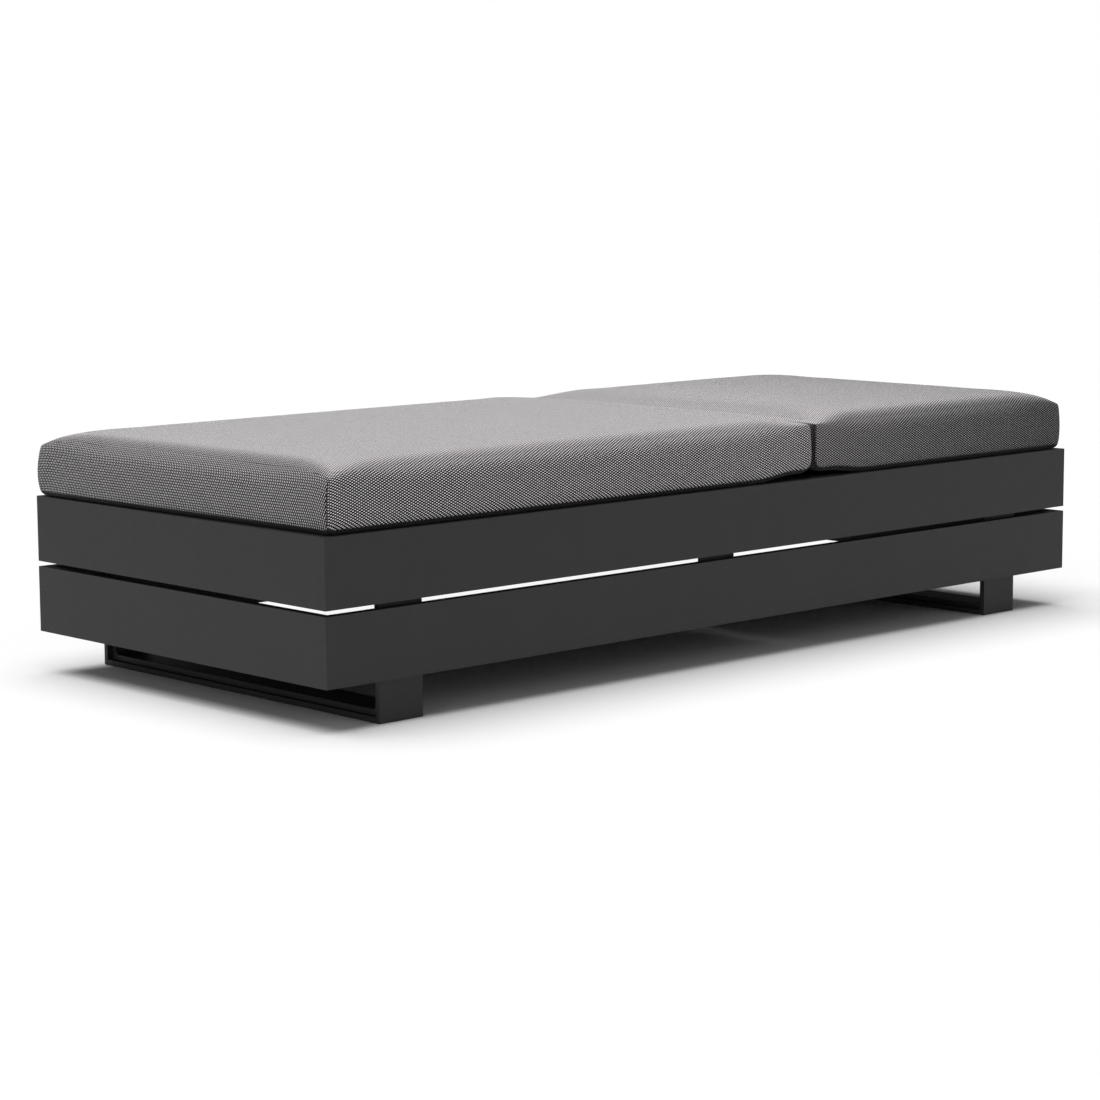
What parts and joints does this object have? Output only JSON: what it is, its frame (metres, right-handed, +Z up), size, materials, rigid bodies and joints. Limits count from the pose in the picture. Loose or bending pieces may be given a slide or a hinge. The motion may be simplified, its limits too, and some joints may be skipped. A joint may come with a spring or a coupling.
{
  "type": "reclining sun lounger",
  "caption": "Low sun lounger with a box frame of double plank bands on sled legs, a propped reclining backrest and a thick two-part cushion.",
  "frame": {"origin": "on the ground under the middle of the frame", "axes": "+X along the lounger from the foot end to the head end, +Z up, so +Y is the right side of someone who sits on it facing the foot end"},
  "size_m": [2, 0.85, 0.4563],
  "materials": {
    "frame": "matte",
    "stainless": "satin",
    "plastic": "matte",
    "rubber": "matte",
    "cushion_fabric": "matte"
  },
  "bodies": {
    "base": {"upper_plank_left": "frame", "upper_plank_right": "frame", "upper_plank_foot": "frame", "upper_plank_head": "frame", "lower_plank_left": "frame", "lower_plank_right": "frame", "lower_plank_foot": "frame", "lower_plank_head": "frame", "corner_brackets": "frame", "left_gap_bracket": "frame", "right_gap_bracket": "frame", "frame_screws": "stainless", "foot_sled": "frame", "head_sled": "frame", "sled_bolts": "stainless", "floor_glides": "plastic", "left_ledge": "frame", "right_ledge": "frame", "foot_beam": "frame", "mid_beam": "frame", "hinge_beam": "frame", "front_rack_beam": "frame", "rear_rack_beam": "frame", "seat_slat_1": "frame", "seat_slat_2": "frame", "seat_slat_3": "frame", "seat_slat_4": "frame", "seat_slat_5": "frame", "seat_slat_6": "frame", "seat_slat_7": "frame", "seat_slat_8": "frame", "seat_slat_9": "frame", "seat_slat_screws": "stainless", "left_hinge_bracket": "frame", "right_hinge_bracket": "frame", "hinge_bushes": "plastic", "left_rack": "frame", "right_rack": "frame", "rest_posts": "frame", "rest_bumpers": "rubber", "seat_cushion": "cushion_fabric"},
    "backrest": {"left_back_stile": "frame", "right_back_stile": "frame", "back_foot_rail": "frame", "back_head_rail": "frame", "back_slat_1": "frame", "back_slat_2": "frame", "back_slat_3": "frame", "back_slat_4": "frame", "back_slat_5": "frame", "back_slat_6": "frame", "back_slat_screws": "stainless", "hinge_pins": "stainless", "prop_pins": "stainless", "back_cushion": "cushion_fabric"},
    "prop": {"left_prop_arm": "frame", "right_prop_arm": "frame", "prop_bar": "stainless", "prop_bushes": "plastic"}
  },
  "joints": [
    {"name": "backrest_hinge", "type": "hinge", "parent": "base", "child": "backrest", "pos_m": [0.215, 0, 0.318], "axis": [0, -1, 0], "range_deg": [0, 55]},
    {"name": "prop_pivot", "type": "hinge", "parent": "backrest", "child": "prop", "pos_m": [0.545, 0, 0.305], "axis": [0, -1, 0], "range_deg": [-110, 0]}
  ],
  "couplings": [
    {"joint": "prop_pivot", "follows": "backrest_hinge", "ratio": -2}
  ]
}
